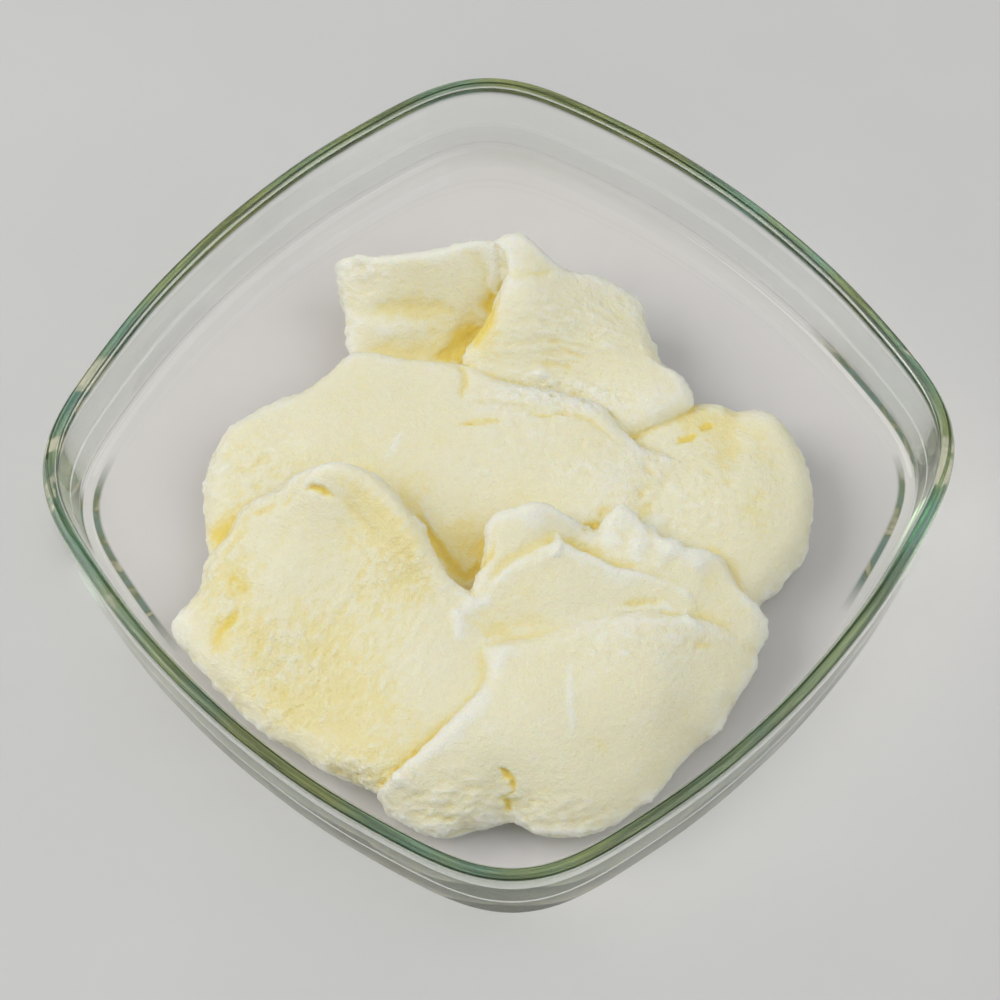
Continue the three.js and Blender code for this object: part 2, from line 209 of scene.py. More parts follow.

# Lines drawn into the yogurt's surface: how far it rises there, the line's half width, how much
# yellower (or whiter) it is, mostly painted warm light in a crease and a painted highlight on a
# ridge, all in millimetres or shares, and its course as the camera sees it, in pixels of the
# picture.
STROKES = (
    # the slab at the back: its folds, the gusset at its corner, and the deep crease below it
    (-0.45, 2.2, 0.3, ((346, 306), (375, 312), (410, 308), (463, 309))),
    (0.5, 2.4, -0.2, ((354, 322), (390, 329), (432, 326))),
    (-0.25, 1.0, 0.2, ((460, 247), (476, 256), (485, 269), (487, 286), (493, 299))),
    (0.4, 1.8, -0.5, ((498, 236), (495, 262), (496, 294))),
    (-0.4, 1.1, 0.25, ((506, 248), (502, 265), (511, 274), (530, 275), (546, 271), (576, 267))),
    (-0.25, 0.8, 0.3, ((507, 272), (500, 286), (497, 306))),
    (-0.9, 2.7, 1.6, ((494, 292), (489, 314), (478, 332), (461, 347), (436, 357))),
    (-0.3, 1.8, 0.35, ((468, 358), (440, 355), (412, 351), (368, 349))),
    (-0.6, 1.1, 0.5, ((463, 355), (464, 376), (462, 398))),
    # the fold's lip and the cracks before it
    (0.6, 2.2, -0.2, ((460, 366), (482, 371), (500, 372), (537, 374), (562, 380), (588, 389),
                      (606, 402), (620, 422), (640, 452))),
    (-0.4, 1.0, 0.3, ((462, 398), (500, 402), (540, 409), (580, 413), (602, 427), (624, 450))),
    (-0.55, 0.55, 0.9, ((458, 424), (472, 423), (484, 420), (500, 421))),
    (-0.45, 0.6, 0.7, ((512, 409), (540, 416), (572, 413))),
    (0.2, 0.9, -0.5, ((382, 459), (392, 445), (404, 429))),
    # the right lobe: two pits and the soft edge of its rounded end
    (-0.6, 0.6, 1.6, ((677, 443), (685, 439), (695, 434))),
    (-0.6, 0.6, 1.6, ((699, 429), (705, 427), (712, 427))),
    (-0.35, 2.6, 0.0, ((724, 404), (731, 440), (727, 480))),
    (-0.3, 2.2, 0.3, ((657, 446), (640, 490), (652, 540))),
    # the crests: a pit, the creases between them, and their thin ridges, painted pale as
    # highlights
    (-0.4, 1.0, 1.3, ((581, 530), (590, 527), (599, 524))),
    (-0.4, 1.1, 0.5, ((596, 517), (602, 509), (608, 503))),
    (-0.5, 1.9, 0.3, ((488, 578), (510, 558), (526, 549), (549, 539), (567, 541), (590, 553),
                       (614, 564), (642, 567))),
    (0.35, 2.1, -0.1, ((495, 585), (528, 559), (552, 550), (575, 554), (608, 568))),
    (0.9, 1.0, -0.9, ((555, 554), (559, 543), (561, 536))),
    (-0.5, 2.6, 0.15, ((480, 628), (522, 630), (572, 623))),
    (0.5, 1.9, -0.3, ((478, 640), (522, 635), (576, 624), (606, 617), (640, 611), (682, 611))),
    (-0.4, 0.9, 0.4, ((617, 606), (642, 602), (670, 601))),
    (0.5, 1.3, -0.4, ((632, 609), (664, 605), (684, 613), (706, 634))),
    (-0.15, 0.9, 0.35, ((676, 645), (695, 648), (716, 645))),
    (0.14, 0.8, -0.35, ((571, 640), (570, 680), (572, 712), (574, 752))),
    (-0.9, 0.55, 1.2, ((498, 764), (503, 774), (509, 783), (515, 793))),
    (-0.9, 0.55, 1.2, ((513, 792), (503, 797), (505, 803), (511, 815))),
    (-0.2, 1.4, 0.1, ((398, 798), (440, 803), (490, 812))),
    (-0.35, 1.0, 0.2, ((402, 812), (450, 819), (498, 824))),
    (-0.3, 1.2, 0.1, ((516, 827), (560, 822), (598, 826))),
    # the left scoop: its high ridge, the notch beside it, the step at its left and its pits
    (0.4, 3.6, 0.35, ((318, 468), (346, 474), (371, 494), (396, 523), (418, 553), (446, 605))),
    (-0.35, 1.2, 0.0, ((318, 489), (345, 500), (362, 520), (382, 552))),
    (-0.9, 0.75, 0.6, ((303, 490), (316, 487), (331, 493))),
    (-0.6, 1.0, 0.8, ((412, 502), (432, 535), (448, 563), (462, 577), (476, 572), (492, 550),
                      (500, 520))),
    (-0.5, 1.2, 0.3, ((316, 466), (296, 482), (290, 499), (262, 509), (246, 517), (241, 535),
                      (226, 549), (205, 564))),
    (-0.35, 1.8, 0.1, ((306, 508), (286, 532), (266, 560), (252, 600))),
    (-0.5, 2.4, 1.0, ((202, 535), (218, 537), (233, 529))),
    (-0.5, 2.6, 0.5, ((218, 560), (232, 575), (246, 594))),
    (-0.35, 1.3, 1.0, ((240, 610), (226, 626), (218, 640), (214, 660))),
    (-0.2, 1.2, 0.4, ((264, 632), (260, 645), (255, 662))),
    (0.8, 1.5, -0.7, ((454, 607), (458, 622), (462, 638))),
    (0.55, 1.6, -0.6, ((456, 616), (470, 606), (490, 597))),
    (0.6, 2.8, -0.35, ((512, 640), (484, 690), (468, 713), (446, 737), (423, 760), (398, 781),
                       (366, 803))),
    (-0.25, 1.6, 0.3, ((452, 716), (428, 745), (405, 765), (370, 787))),
)

# Knobs on the surface: how far they rise, their radius, and their place in the picture. Each gets
# a painted highlight.
KNOBS = (
    (0.9, 3.2, (618, 512)), (0.8, 2.4, (647, 526)), (0.9, 2.6, (671, 545)), (0.6, 1.8, (637, 545)),
    (0.9, 2.6, (697, 563)), (0.5, 2.4, (530, 512)), (0.6, 2.0, (610, 540)), (0.5, 3.0, (690, 590)),
    (0.5, 1.4, (345, 266)), (0.5, 1.6, (360, 258)), (0.4, 1.2, (335, 362)), (0.5, 1.2, (540, 373)),
)

# Rough places: how rough, the size of the crumbs, how wet they shine, how yellow (partly the
# yogurt's own tone, partly painted warm light in hollows, and a painted highlight where below
# zero), the place in the picture, its half width and half height, and the way its grain runs, in
# degrees, with how drawn out it is.
ROUGH = (
    (0.22, 1.3, 1.0, 0.3, (285, 672), (75, 70), 50, 1.6),
    (0.25, 1.1, 1.0, 0.5, (368, 768), (52, 28), 30, 1.5),
    (0.28, 1.6, 0.8, 0.3, (228, 590), (42, 60), 60, 1.5),
    (0.22, 1.3, 0.8, 0.1, (400, 575), (55, 45), 50, 1.5),
    (0.28, 1.1, 0.9, -0.3, (560, 396), (95, 20), 0, 1.0),
    (0.2, 1.6, 0.4, -0.15, (655, 485), (90, 60), 0, 1.0),
    (0.12, 1.6, 0.3, 0.0, (540, 450), (90, 45), 0, 1.0),
    (0.35, 1.7, 0.3, 0.0, (450, 806), (80, 36), 0, 2.0),
    (0.4, 1.7, 0.3, 0.0, (560, 818), (60, 24), 0, 2.0),
    (0.28, 1.8, 0.3, -0.1, (355, 275), (40, 34), 0, 1.5),
    (0.24, 0.9, 0.0, 0.05, (565, 340), (90, 42), -12, 5.0),
    (0.15, 1.0, 0.2, -0.1, (600, 300), (50, 45), -30, 4.0),
    (0.16, 1.0, 0.3, 0.1, (360, 640), (90, 90), 55, 3.0),
    (0.28, 2.0, 0.5, 0.1, (250, 470), (70, 60), 20, 1.5),
    (0.2, 1.5, 0.2, -0.1, (640, 640), (90, 30), 0, 1.5),
    (0.22, 1.8, 0.3, -0.15, (640, 540), (90, 40), 0, 1.0),
    (0.1, 1.2, 0.3, 0.35, (345, 722), (70, 40), 40, 2.0),
    (0.1, 1.2, 0.2, 0.3, (395, 500), (45, 60), 50, 2.0),
    (0.1, 1.2, 0.2, 0.5, (462, 545), (32, 30), 0, 1.0),
    (0.1, 1.2, 0.3, 0.15, (440, 335), (60, 24), 0, 1.0),
    (0.1, 1.2, 0.3, 0.25, (740, 470), (60, 90), 0, 1.0),
    (0.1, 1.2, 0.3, 0.5, (700, 420), (34, 20), 0, 1.0),
    (0.1, 1.2, 0.3, -0.25, (500, 258), (28, 28), 0, 1.0),
)


# How the surface is worked: the lines' wavering and their changing strength, as an amount and a
# size in millimetres, and the unevenness of the sides and of the whole, likewise.
WAVER = (0.6, 3.0)
STRENGTH_CHANGE = (0.4, 4.0)
SIDE_WAVES = (1.2, 5.5)
SIDE_CRUMBS = (0.55, 2.2)
WAVES = (0.25, 8.0)
CRUMBS = (0.05, 1.2)
LINE_STEP = 1.5  # pixels between the places at which a line is laid
LINE_REACH = 2.6  # half widths from a line at which its effect ends
TINT_WIDTH = 1.3  # a line's tint is this much wider than its rise
# painted highlight: how much whiter a knob is made
KNOB_PAINTED_HIGHLIGHT = 0.25
HOLLOW_BLURS = (30, 150)  # rounds of smoothing that find the small and the large hollows
# the lines' yellowness, mostly painted light, scaled into the colour mark
TONE_AND_PAINTED_LIGHT_SCALE = 0.35  # from a line's yellowness to the colour mark
HOLLOW_SCALE = 2.5  # from millimetres of hollow to the colour mark


# ---- curves and surfaces ------------------------------------------------------------------------


def rim_point(angle):
    """The middle of the rim, seen from above."""
    radius = 1 + sum(s * np.cos(4 * (i + 1) * angle) for i, s in enumerate(SQUARENESS))
    return RIM_RADIUS * radius * np.array([np.cos(angle), np.sin(angle)])


def dish_ring(inset, z, around=AROUND):
    """One ring round the dish, moved in from the rim's outer edge."""
    angle = np.arange(around) * 2 * math.pi / around
    step = 0.002
    tangent = rim_point(angle + step) - rim_point(angle - step)
    tangent /= np.linalg.norm(tangent, axis=0)
    move = RIM_THICKNESS / 2 - inset
    x, y = rim_point(angle) + move * np.array([tangent[1], -tangent[0]])
    return np.stack([x, y, np.full(around, z)], axis=1)


def dish_profile():
    """Insets and heights from the base's edge over the rim to the floor's edge."""
    quarter = [math.radians(90 * i / ROUND_STEPS) for i in range(ROUND_STEPS + 1)]
    rows = [
        (OUTER_LEAN + TURN * (1 - math.cos(a)), TURN * (1 - math.sin(a))) for a in quarter[::-1]
    ]
    for i in range(1, OUTER_STEPS + 1):
        share = i / OUTER_STEPS
        rows.append((OUTER_LEAN * (1 - share), TURN + share * (WALL_TOP - TURN)))
    for i in range(1, ROUND_STEPS):
        a = math.pi * i / ROUND_STEPS
        rise = (HEIGHT - WALL_TOP) * math.sin(a)
        rows.append((RIM_THICKNESS / 2 * (1 - math.cos(a)), WALL_TOP + rise))
    foot = RIM_THICKNESS + INNER_LEAN
    fillet_top = FLOOR + FILLET
    for i in range(INNER_STEPS):
        share = i / INNER_STEPS
        drop = share * (WALL_TOP - fillet_top)
        rows.append((RIM_THICKNESS + share * INNER_LEAN, WALL_TOP - drop))
    for a in quarter:
        rows.append((foot + FILLET * (1 - math.cos(a)), fillet_top - FILLET * math.sin(a)))
    rows += [(FLOOR_INSET + further, FLOOR) for further in FLOOR_RINGS]
    return rows


def closed_mesh(rings, first, last):
    """Vertices and faces of rings of equal length, closed on a point at each end."""
    count = len(rings[0])
    vertices = np.concatenate([*rings, [first], [last]])
    first_index = len(rings) * count
    faces = []
    for j in range(count):
        n = (j + 1) % count
        faces.append((first_index, n, j))
        for i in range(len(rings) - 1):
            a, b = i * count, (i + 1) * count
            faces.append((a + j, a + n, b + n, b + j))
        top = (len(rings) - 1) * count
        faces.append((first_index + 1, top + j, top + n))
    return vertices, faces


def new_object(name, vertices, faces):
    """A smooth piece from vertices in millimetres."""
    mesh = bpy.data.meshes.new(name)
    mesh.from_pydata((np.asarray(vertices) * MM).tolist(), [], faces)
    mesh.update()
    mesh.polygons.foreach_set("use_smooth", [True] * len(mesh.polygons))
    piece = bpy.data.objects.new(name, mesh)
    bpy.context.scene.collection.objects.link(piece)
    return piece


def thin_plate(places):
    """A smooth sheet through places given as rows of (right, back, height)."""
    at, height = places[:, :2], places[:, 2]

    def bend(a, b):
        square = ((a[:, None] - b[None]) ** 2).sum(-1)
        return square * np.log(np.maximum(square, 1e-12))

    count = len(places)
    plane = np.column_stack([np.ones(count), at])
    matrix = np.block([[bend(at, at), plane], [plane.T, np.zeros((3, 3))]])
    weights = np.linalg.solve(matrix, np.append(height, [0, 0, 0]))

    def top(points):
        linear = weights[count] + points @ weights[count + 1 :]
        return bend(points, at) @ weights[:count] + linear

    return top


def closed_curve(corners, count):
    """Evenly spaced points on a centripetal Catmull-Rom loop through corners."""
    fine = []
    total = len(corners)
    for i in range(total):
        p = [corners[(i + k - 1) % total] for k in range(4)]
        t = [0.0]
        for k in range(3):
            t.append(t[-1] + math.sqrt(np.linalg.norm(p[k + 1] - p[k])))
        for s in np.linspace(t[1], t[2], 24, endpoint=False):
            a = [
                (t[k + 1] - s) / (t[k + 1] - t[k]) * p[k]
                + (s - t[k]) / (t[k + 1] - t[k]) * p[k + 1]
                for k in range(3)
            ]
            b = [
                (t[k + 2] - s) / (t[k + 2] - t[k]) * a[k]
                + (s - t[k]) / (t[k + 2] - t[k]) * a[k + 1]
                for k in range(2)
            ]
            fine.append((t[2] - s) / (t[2] - t[1]) * b[0] + (s - t[1]) / (t[2] - t[1]) * b[1])
    fine = np.array(fine + [fine[0]])
    along = np.concatenate([[0], np.cumsum(np.linalg.norm(np.diff(fine, axis=0), axis=1))])
    even = np.linspace(0, along[-1], count, endpoint=False)
    return np.column_stack([np.interp(even, along, fine[:, k]) for k in range(2)])


def diagonal(points, z):
    """From right and back along the diagonals to X, Y and Z."""
    right, back = points.T
    half = math.sqrt(0.5)
    return np.column_stack([(right - back) * half, (right + back) * half, z])


def spoonful(lip, edge, inside):
    """Vertices and faces of one spoonful."""
    edge = np.array(edge, float)
    top = thin_plate(np.concatenate([edge, np.array(inside, float)]))
    loop = closed_curve(edge[:, :2], SPOON_AROUND)[::-1]
    middle = loop.mean(0)
    reach = np.linalg.norm(loop - middle, axis=1, keepdims=True)
    inward = (middle - loop) / reach
    below = FLOOR - SINK
    undercut = UNDERCUT * (top(loop) - FLOOR)
    rings = [diagonal(loop + inward * undercut[:, None], np.full(len(loop), below))]
    for i in range(LIP_STEPS):
        a = math.pi / 2 * (1 - i / LIP_STEPS)
        at = loop + inward * lip * (1 - math.sin(a))
        height = top(at)
        drop = np.minimum(lip, (height - FLOOR) * LIP_DROP) * (1 - math.cos(a))
        rings.append(diagonal(at, height - drop))
    for i in range(SPOON_RINGS):
        at = loop + inward * (lip + i / SPOON_RINGS * (reach - lip))
        rings.append(diagonal(at, top(at)))
    first = diagonal(middle[None], np.array([below]))[0]
    last = diagonal(middle[None], top(middle[None]))[0]
    return closed_mesh(rings, first, last)


def make_dish():
    """The glass dish, with marks on its section for the glass's tints and its painted light."""
    rings = [dish_ring(inset, z) for inset, z in dish_profile()]
    vertices, faces = closed_mesh(rings, (0, 0, 0), (0, 0, FLOOR))
    piece = new_object("glass_dish", vertices, faces)
    marks = [section_marks(inset, z, ring) for (inset, z), ring in zip(dish_profile(), rings)]
    marks = np.concatenate([*marks, np.zeros((2, 4))])  # the two centre points have none
    section = piece.data.color_attributes.new("section", "FLOAT_COLOR", "POINT")
    section.data.foreach_set("color", marks.ravel())
    return piece


def section_marks(inset, z, ring):
    """Marks of one ring's places: across the rim, on the rim, near a corner, on a streak."""
    right = (ring[:, 0] + ring[:, 1]) * math.sqrt(0.5)
    back = (ring[:, 1] - ring[:, 0]) * math.sqrt(0.5)
    corner = np.clip((np.abs(right) - CORNER_START) / CORNER_SPAN, 0, 1)
    rim = min(1, max(0, z - WALL_TOP + 1))
    streak = np.zeros(len(ring))
    for side, ((inset_low, inset_high), (low, high)), (front_end, back_end) in STREAKS:
        if inset_low < inset < inset_high and low < z < high:
            middle, half = (front_end + back_end) / 2, (back_end - front_end) / 2
            near = 1 - ((back - middle) / half) ** 2
            near = np.clip(near * STREAK_FADE, 0, 1) * (right * side > 0)
            streak = np.maximum(streak, near)
    full = np.ones(len(ring))
    return np.column_stack([full * inset / RIM_THICKNESS, full * rim, corner, streak])


def make_heap():
    """All spoonfuls, fused by a fine remesh, with the surface's lines, knobs and crumbs."""
    vertices, faces, start = [], [], 0
    for spec in SPOONFULS.values():
        v, f = spoonful(*spec)
        vertices.append(v)
        faces += [tuple(i + start for i in face) for face in f]
        start += len(v)
    heap = new_object("yogurt_heap", np.concatenate(vertices), faces)
    remesh = heap.modifiers.new("fuse", "REMESH")
    remesh.mode = "VOXEL"
    remesh.voxel_size = VOXEL * MM
    smooth = heap.modifiers.new("soften", "SMOOTH")
    smooth.factor = 0.5
    smooth.iterations = SMOOTHING
    apply_modifiers(heap)
    work_surface(heap)
    thin = heap.modifiers.new("thin", "DECIMATE")
    heap.data.calc_loop_triangles()
    thin.ratio = HEAP_TRIANGLES / len(heap.data.loop_triangles)
    apply_modifiers(heap)
    heap.data.polygons.foreach_set("use_smooth", [True] * len(heap.data.polygons))
    return heap


def soft_noise(places, size, seed):
    """Smooth noise between -1 and 1, with features of a size in millimetres."""
    cells = 64
    lattice = np.random.default_rng(seed).uniform(-1, 1, (cells, cells, cells))
    at = places / size + 1000
    cell = np.floor(at).astype(int)
    part = at - cell
    part = part * part * (3 - 2 * part)
    total = np.zeros(len(places))
    for corner in np.ndindex(2, 2, 2):
        weight = np.prod(np.where(corner, part, 1 - part), axis=1)
        i, j, k = ((cell + corner) % cells).T
        total += weight * lattice[i, j, k]
    return total


def crumbs(places, size, seed):
    """Noise of three sizes, each half the one before."""
    return sum(soft_noise(places, size / 2**i, seed + i) / 1.7**i for i in range(3))


def rounded(points, times=3):
    """A line with its corners cut off."""
    line = np.array(points, float)
    for _ in range(times):
        a, b = line[:-1], line[1:]
        cut = np.stack([0.75 * a + 0.25 * b, 0.25 * a + 0.75 * b], axis=1).reshape(-1, 2)
        line = np.concatenate([line[:1], cut, line[-1:]])
    return line


def lay_line(tree, points, step):
    """The places on the surface, in millimetres, under a line drawn in the picture."""
    line = rounded(points)
    along = np.concatenate([[0], np.cumsum(np.linalg.norm(np.diff(line, axis=0), axis=1))])
    count = max(3, int(along[-1] / step))
    even = np.linspace(0, along[-1], count)
    course = np.column_stack([np.interp(even, along, line[:, k]) for k in range(2)])
    hits = [under_pixel(tree, *at) for at in course]
    return np.array([place for place in hits if place is not None])


def under_pixel(tree, x, y):
    """Where the camera's ray through a pixel of the picture meets the surface."""
    turn = camera.matrix_world
    ray = Vector(((x / PICTURE - 0.5) / FOCAL_WIDTHS, (0.5 - y / PICTURE) / FOCAL_WIDTHS, -1))
    place = tree.ray_cast(turn.translation / MM, (turn.to_3x3() @ ray).normalized())[0]
    return None if place is None else np.array(place)


def nearness(places, line, width, taper=True):
    """1 on a line, fading to 0 beyond its half width, and towards its ends."""
    field = np.zeros(len(places))
    if not len(line):
        return field
    reach = LINE_REACH * width
    near = np.flatnonzero(((places > line.min(0) - reach) & (places < line.max(0) + reach)).all(1))
    best = np.full(len(near), np.inf)
    strength = np.zeros(len(near))
    for i, point in enumerate(line):
        share = (i + 0.5) / len(line)
        thickness = math.sqrt(math.sin(math.pi * share)) if taper else 1
        square = ((places[near] - point) ** 2).sum(1) / thickness**2
        closer = square < best
        best[closer] = square[closer]
        strength[closer] = thickness
    field[near] = np.exp(-best / width**2) * strength
    return field


def mesh_arrays(mesh):
    """A mesh's places in millimetres, its normals and its edges."""
    count = len(mesh.vertices)
    places, normals = np.empty(count * 3), np.empty(count * 3)
    mesh.vertices.foreach_get("co", places)
    mesh.vertices.foreach_get("normal", normals)
    edges = np.empty(len(mesh.edges) * 2, int)
    mesh.edges.foreach_get("vertices", edges)
    return places.reshape(-1, 3) / MM, normals.reshape(-1, 3), edges.reshape(-1, 2)


def blurred(values, edges, times):
    """Values averaged with their neighbours' again and again."""
    a, b = edges.T
    count = len(values)
    neighbours = np.bincount(a, minlength=count) + np.bincount(b, minlength=count)
    for _ in range(times):
        total = np.bincount(a, values[b], count) + np.bincount(b, values[a], count)
        values = 0.5 * values + 0.5 * total / neighbours
    return values


def work_surface(heap):
    """Moves the surface along its normals, keeps it in the dish, and marks its colours: its tone
    and its painted light.
    """
    places, normals, _ = mesh_arrays(heap.data)
    tree = BVHTree.FromPolygons(places.tolist(), [list(p.vertices) for p in heap.data.polygons])
    rise, painted_light_and_tone, wet = (np.zeros(len(places)) for _ in range(3))
    waver = [crumbs(places, WAVER[1], seed) for seed in (21, 31, 41)]
    wavered = places + WAVER[0] * np.stack(waver, axis=1)
    strength = 1 + STRENGTH_CHANGE[0] * soft_noise(places, STRENGTH_CHANGE[1], 51)
    for height, width, yellow, points in STROKES:
        line = lay_line(tree, points, LINE_STEP)
        rise += height * strength * nearness(wavered, line, width)
        # painted light: creases made yellower and ridges whiter
        painted_light_and_tone += yellow * strength * nearness(wavered, line, width * TINT_WIDTH)
    for height, radius, at in KNOBS:
        line = lay_line(tree, (at, (at[0] + 1, at[1])), 0.5)
        field = nearness(places, line, radius, taper=False)
        rise += height * field
        # painted highlight: the knob made whiter
        painted_light_and_tone -= KNOB_PAINTED_HIGHLIGHT * field
    pixels = in_picture(places)
    for i, (rough, size, shine, yellow, at, half, degrees, drawn) in enumerate(ROUGH):
        off = (pixels - at) / half
        patch = np.exp(-((off**2).sum(1) ** 1.5)) * (normals[:, 2] > -0.2)
        a = math.radians(degrees + CAMERA_AZIMUTH)
        along = places @ np.array([math.cos(a), math.sin(a), 0])
        grain = places - np.outer(along * (1 - 1 / drawn), [math.cos(a), math.sin(a), 0])
        rise += rough * patch * crumbs(grain, size, 100 + 10 * i)
        wet = np.maximum(wet, shine * patch)
        # the yogurt's own tone and painted light: yellower hollows, whiter crests
        painted_light_and_tone += yellow * patch
    steep = np.clip(1 - np.abs(normals[:, 2]) * 1.3, 0, 1)
    rise += steep * SIDE_WAVES[0] * soft_noise(places, SIDE_WAVES[1], 1)
    rise += steep * SIDE_CRUMBS[0] * crumbs(places, SIDE_CRUMBS[1], 2)
    rise += WAVES[0] * soft_noise(places, WAVES[1], 5) + CRUMBS[0] * crumbs(places, CRUMBS[1], 6)
    move_surface(heap, places, normals, rise)
    mark_skin(heap, painted_light_and_tone, wet)


def move_surface(heap, places, normals, rise):
    """Moves each place by its rise, but keeps the underside flat and the whole in the dish."""
    under = (normals[:, 2] < -0.6) & (places[:, 2] < FLOOR + 0.8)
    rise[under] = 0
    places += normals * rise[:, None]
    places[under, 2] = FLOOR - SINK
    places[:, 2] = np.maximum(places[:, 2], FLOOR - SINK)
    keep_in_dish(places)
    heap.data.vertices.foreach_set("co", (places * MM).ravel())
    heap.data.update()


def mark_skin(heap, painted_light_and_tone, wet):
    """Keeps the yellowness with its painted light, the shine and how hollow each place is, for the
    material.
    """
    places, normals, edges = mesh_arrays(heap.data)
    hollow = np.zeros(len(places))
    for times in HOLLOW_BLURS:
        middle = np.stack([blurred(places[:, k], edges, times) for k in range(3)], axis=1)
        hollow += ((middle - places) * normals).sum(1) / math.sqrt(times)
    marks = np.column_stack(
        [0.5 + TONE_AND_PAINTED_LIGHT_SCALE * painted_light_and_tone, wet, 0.5 + HOLLOW_SCALE * hollow, np.ones(len(places))]
    )
    skin = heap.data.color_attributes.new("skin", "FLOAT_COLOR", "POINT")
    skin.data.foreach_set("color", np.clip(marks, 0, 1).ravel())


def in_picture(places):
    """Where the camera sees places, in pixels of the picture."""
    turn = np.array(camera.matrix_world)
    seen = (places - turn[:3, 3] / MM) @ turn[:3, :3]
    share = seen[:, :2] / -seen[:, 2:] * FOCAL_WIDTHS
    return PICTURE * (0.5 + share * (1, -1))


def keep_in_dish(places):
    """Moves places that lie outside the dish's inner surface back to just inside the glass."""
    angle = np.arctan2(places[:, 1], places[:, 0])
    limits = []
    for inset in (RIM_THICKNESS, RIM_THICKNESS + INNER_LEAN + FILLET):
        ring = dish_ring(inset, 0.0)
        order = np.argsort(np.arctan2(ring[:, 1], ring[:, 0]))
        ring = ring[order]
        turn = np.arctan2(ring[:, 1], ring[:, 0])
        limits.append(np.interp(angle, turn, np.hypot(ring[:, 0], ring[:, 1]), period=math.tau))
    z = places[:, 2]
    low = np.clip((FLOOR + FILLET - z) / FILLET, 0, 1)
    high = np.clip((WALL_TOP - z) / (WALL_TOP - FLOOR - FILLET), 0, 1)
    inset = INNER_LEAN * high + FILLET * (1 - np.sqrt(1 - low**2)) - SINK
    share = inset / (INNER_LEAN + FILLET)
    limit = limits[0] + share * (limits[1] - limits[0])
    reach = np.hypot(places[:, 0], places[:, 1])
    places[:, :2] *= np.minimum(1, limit / np.maximum(reach, 1e-6))[:, None]


def apply_modifiers(piece):
    """Replaces a piece's mesh by what its modifiers make of it."""
    graph = bpy.context.evaluated_depsgraph_get()
    mesh = bpy.data.meshes.new_from_object(piece.evaluated_get(graph))
    piece.modifiers.clear()
    old = piece.data
    piece.data = mesh
    bpy.data.meshes.remove(old)


# ---- materials ----------------------------------------------------------------------------------

# The glass: its green over long ways, and faint tints that keep its thin floor and its shadow
# neutral.
GLASS_GREEN = (0.4, 0.77, 0.34, 1)
GLASS_DENSITY = 6.0
FLOOR_TINT = (1.0, 0.975, 0.985)
SHADOW_TINT = (1.0, 0.975, 0.985, 1)
FLOOR_TINT_HEIGHTS = (0.27, 0.42)  # shares of the dish's height between which that tint ends

# The rim's tints, mostly painted light: greens in long patches, the glass's own green deepened as
# painted light where light runs down inside the rim; painted light and shade in thin lines along
# the rim; painted cream light in patches near the left and right corners; and a painted shade line
# and painted highlight lines by the place across the rim.
RIM_GREENS = (
    (0.36, (0.045, 0.14, 0.1)), (0.5, (0.08, 0.14, 0.045)), (0.62, (0.11, 0.14, 0.025)),
)
# painted light and shade: the green made lighter and darker in thin lines along the rim
RIM_PAINTED_LIGHT_LINES = ((0.36, (0.45, 0.45, 0.45)), (0.5, (1, 1, 1)), (0.64, (2.2, 2.0, 1.9)))
# painted cream light, in patches near the left and right corners
RIM_PAINTED_CREAM = (0.75, 0.68, 0.45, 1)
PAINTED_CREAM_PATCHES = ((0.58, (0, 0, 0)), (0.62, (1, 1, 1)))
PAINTED_CREAM_CORNERS = ((0.1, (0, 0, 0)), (0.8, (1, 1, 1)))
# a painted shade line at the rim's inner edge
RIM_PAINTED_SHADE_LINE = ((0.0, (1, 1, 1)), (0.93, (1, 1, 1)), (0.97, (0.35, 0.35, 0.35)))
# painted highlight lines at the rim's outer edge and near its inner edge
RIM_PAINTED_HIGHLIGHT_LINES = (
    (0.02, (0.75, 0.75, 0.75)), (0.14, (0, 0, 0)), (0.8, (0, 0, 0)), (0.88, (0.9, 0.9, 0.9)),
    (0.94, (0, 0, 0)),
)
STREAK_GREENS = ((0.4, (0.07, 0.15, 0.11)), (0.55, (0.08, 0.11, 0.03)), (0.68, (0.4, 0.38, 0.2)))

# The sizes of the glass's patches, in millimetres, and how many lines run along the rim.
GREEN_PATCH = 28.0
CREAM_PATCH = 15.0
STREAK_PATCH = 5.0
LINE_PATCH = 18.0
LINES_ACROSS = 5.0

# The yogurt: its tones from whitest to yellowest, where 0.5 is plain cream, and the sizes in
# millimetres and amounts of the mottle in them. The whitest and yellowest tones also carry painted
# highlights and painted warm bounce light.
YOGURT_TONES = (
    (0.22, (0.88, 0.87, 0.76)), (0.5, (0.87, 0.825, 0.6)), (0.68, (0.87, 0.78, 0.42)),
    (0.95, (0.88, 0.71, 0.18)),
)
# painted bounce light: how much yellower the hollows are made, as light bounced between the
# yogurt's faces would make them
PAINTED_HOLLOW_LIGHT = 0.9
MOTTLE = ((14.0, 0.3), (4.0, 0.18), (1.1, 0.13), (0.4, 0.12))
FLOOR_GREYS = ((0.3, (0.61, 0.605, 0.595)), (0.7, (0.63, 0.63, 0.62)))
FLOOR_MOTTLE = 60.0


def new_material(name):
    """A material without nodes but its output, its tree, and that output."""
    material = bpy.data.materials.new(name)
    material.use_nodes = True
    tree = material.node_tree
    tree.nodes.clear()
    output = tree.nodes.new("ShaderNodeOutputMaterial")
    return material, tree, output


def object_place(tree):
    return tree.nodes.new("ShaderNodeTexCoord").outputs["Object"]


def mark_colour(tree, layer):
    """A colour attribute's colour split in three, and its alpha."""
    marks = tree.nodes.new("ShaderNodeVertexColor")
    marks.layer_name = layer
    split = tree.nodes.new("ShaderNodeSeparateColor")
    tree.links.new(marks.outputs["Color"], split.inputs[0])
    return [*split.outputs, marks.outputs["Alpha"]]


